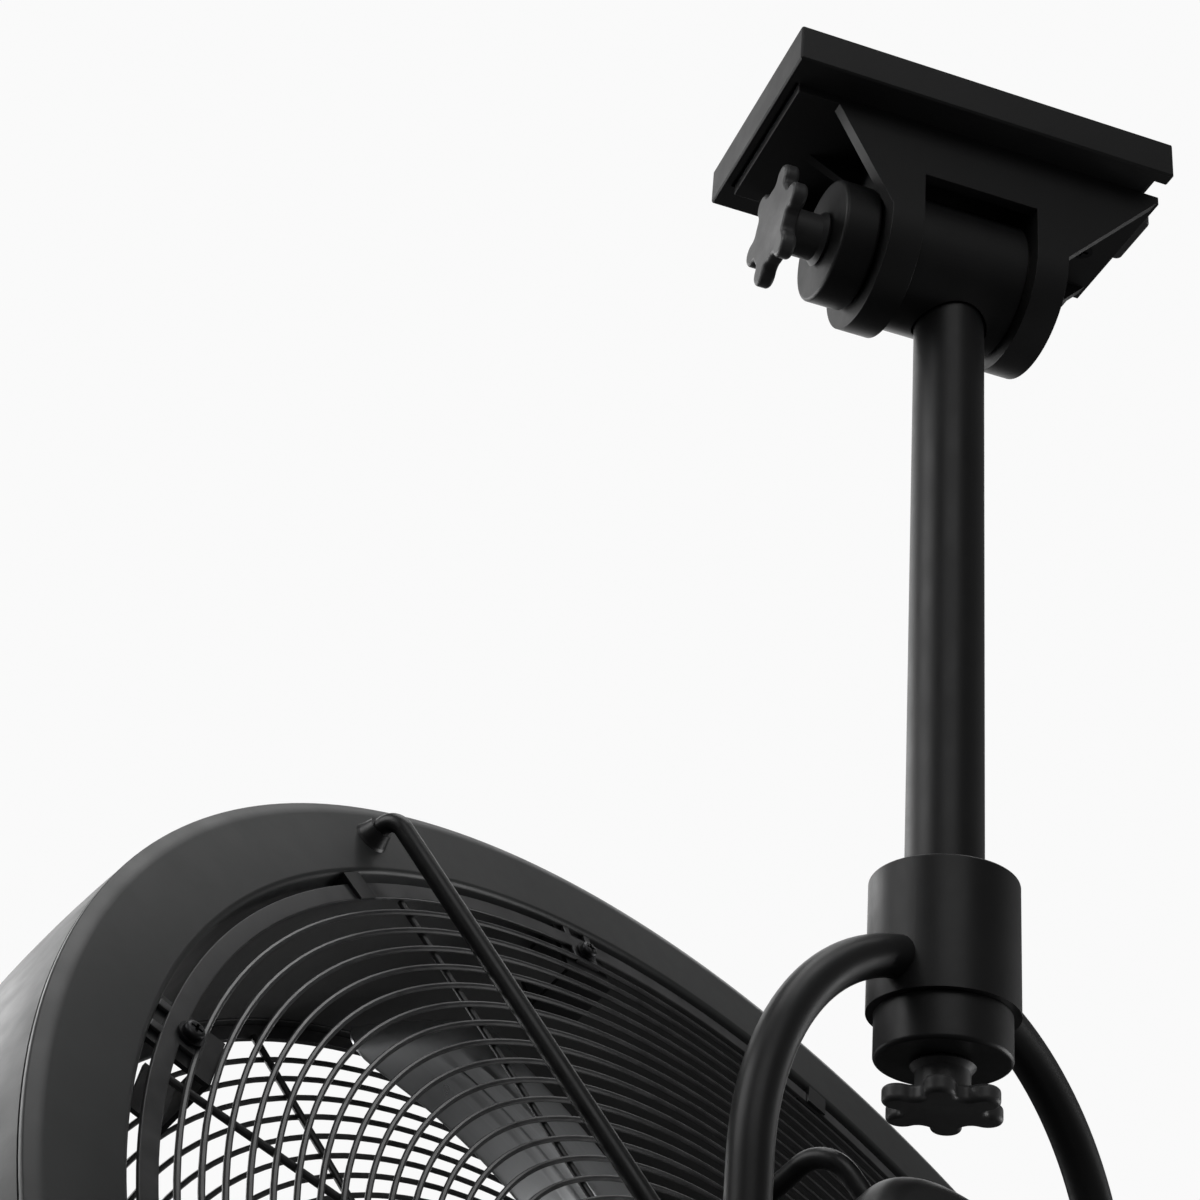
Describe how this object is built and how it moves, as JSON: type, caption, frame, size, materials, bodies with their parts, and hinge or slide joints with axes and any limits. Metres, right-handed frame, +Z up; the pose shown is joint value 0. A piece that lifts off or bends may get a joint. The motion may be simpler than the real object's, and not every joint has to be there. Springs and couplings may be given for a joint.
{
  "type": "ceiling drum fan",
  "caption": "Ceiling-held drum fan with a tilting knuckle, drop pole, swivel yoke, star knobs, wire guards and turning blades.",
  "frame": {"origin": "on the ceiling face of the mounting plate, where the drop pole's axis meets it", "axes": "+Z up into the ceiling; +X along the plate's long side and the knuckle's tilt axis, away from the tilt knob; +Y away from the fan's intake side"},
  "size_m": [0.5972, 0.4513, 0.8632],
  "materials": {
    "mount_paint": "satin black powder coat on a casting",
    "pole_paint": "satin black powder coat",
    "drum_paint": "satin black powder coat on sheet",
    "guard_paint": "black coated wire",
    "motor_paint": "satin black paint",
    "knob_plastic": "fine matte texture",
    "trim_plastic": "matte",
    "dark_screws": "blackened steel",
    "plain_steel": "zinc plated",
    "blade_metal": "brushed, satin",
    "bearing_steel": "polished",
    "core_steel": "stacked sheet edges",
    "winding_copper": "varnished copper wire",
    "can_metal": "plain",
    "bearing_plastic": "plain"
  },
  "bodies": {
    "ceiling_mount": {"ceiling_plate": "mount_paint", "knuckle_bracket": "mount_paint", "lock_screw": "dark_screws", "friction_washers": "bearing_plastic", "tilt_bolt": "plain_steel", "tilt_bolt_washer": "plain_steel", "clamp_cap": "mount_paint"},
    "latch": {"latch_button": "knob_plastic"},
    "tilt_knob": {"tilt_knob": "knob_plastic", "tilt_knob_insert": "plain_steel"},
    "pole": {"tilt_barrel": "pole_paint", "cross_pin": "plain_steel", "drop_pole": "pole_paint", "pole_end_plug": "plain_steel"},
    "yoke": {"swivel_bush": "bearing_plastic", "swivel_collar": "pole_paint", "collar_cap": "pole_paint", "yoke_tube": "pole_paint", "yoke_end_plugs": "trim_plastic"},
    "swivel_knob": {"swivel_knob": "knob_plastic", "swivel_stud": "plain_steel"},
    "head": {"rear_bezel": "drum_paint", "front_bezel": "drum_paint", "drum_shell": "drum_paint", "shell_joiners": "drum_paint", "drum_liner": "drum_paint", "rear_guard": "guard_paint", "guard_screws": "dark_screws", "rim_clips": "trim_plastic", "guard_brackets": "guard_paint", "front_guard": "guard_paint", "front_clips": "guard_paint", "front_guard_screws": "dark_screws", "support_rods": "guard_paint", "rod_ferrules": "trim_plastic", "rod_nuts": "plain_steel", "motor_housing": "motor_paint", "motor_rear_cover": "motor_paint", "motor_front_plate": "motor_paint", "motor_screws": "dark_screws", "bearing_outer_races": "bearing_steel", "bearing_balls": "bearing_steel", "stator_core": "core_steel", "stator_windings": "winding_copper", "run_capacitor": "can_metal", "speed_switch": "trim_plastic", "cord_gland": "trim_plastic", "pivot_washers": "plain_steel"},
    "side_knob_right": {"side_knob_right": "knob_plastic", "side_bolt_right": "plain_steel"},
    "side_knob_left": {"side_knob_left": "knob_plastic", "side_bolt_left": "plain_steel"},
    "rotor": {"rotor_core": "core_steel", "motor_shaft": "plain_steel", "bearing_inner_races": "bearing_steel", "blade_hub": "blade_metal", "blades": "blade_metal", "hub_nut": "plain_steel"},
    "speed_dial": {"speed_dial": "knob_plastic"}
  },
  "joints": [
    {"name": "latch_press", "type": "slide", "parent": "ceiling_mount", "child": "latch", "axis": [-1, 0, 0], "range_m": [0, 0.003], "stiffness_N_per_m": 300, "springref_m": -0.002},
    {"name": "tilt_knob_turn", "type": "hinge", "parent": "ceiling_mount", "child": "tilt_knob", "pos_m": [0, 0, -0.0653], "axis": [-1, 0, 0], "range_deg": [-90, 360]},
    {"name": "pole_tilt", "type": "hinge", "parent": "ceiling_mount", "child": "pole", "pos_m": [0, 0, -0.0653], "axis": [1, 0, 0], "range_deg": [-45, 45]},
    {"name": "yoke_swivel", "type": "hinge", "parent": "pole", "child": "yoke", "pos_m": [0, 0, -0.3663], "axis": [0, 0, 1], "range_deg": [-170, 170]},
    {"name": "swivel_knob_turn", "type": "hinge", "parent": "yoke", "child": "swivel_knob", "pos_m": [0, 0, -0.42], "axis": [0, 0, 1], "range_deg": [-90, 360]},
    {"name": "head_tilt", "type": "hinge", "parent": "yoke", "child": "head", "pos_m": [0, 0, -0.5221], "axis": [0.8942, 0.4478, 0], "range_deg": [-61, 28]},
    {"name": "side_knob_right_turn", "type": "hinge", "parent": "head", "child": "side_knob_right", "pos_m": [0.10014, 0.05015, -0.5221], "axis": [0.8942, 0.4478, 0], "range_deg": [-90, 360]},
    {"name": "side_knob_left_turn", "type": "hinge", "parent": "head", "child": "side_knob_left", "pos_m": [-0.10014, -0.05015, -0.5221], "axis": [-0.8942, -0.4478, 0], "range_deg": [-90, 360]},
    {"name": "blade_spin", "type": "hinge", "parent": "head", "child": "rotor", "pos_m": [-0.04713, 0.09412, -0.57973], "axis": [0.3928, -0.7843, 0.4802], "continuous": true},
    {"name": "speed_dial_turn", "type": "hinge", "parent": "head", "child": "speed_dial", "pos_m": [0.02467, -0.04926, -0.53526], "axis": [0.3928, -0.7843, 0.4802], "range_deg": [0, 135]}
  ]
}
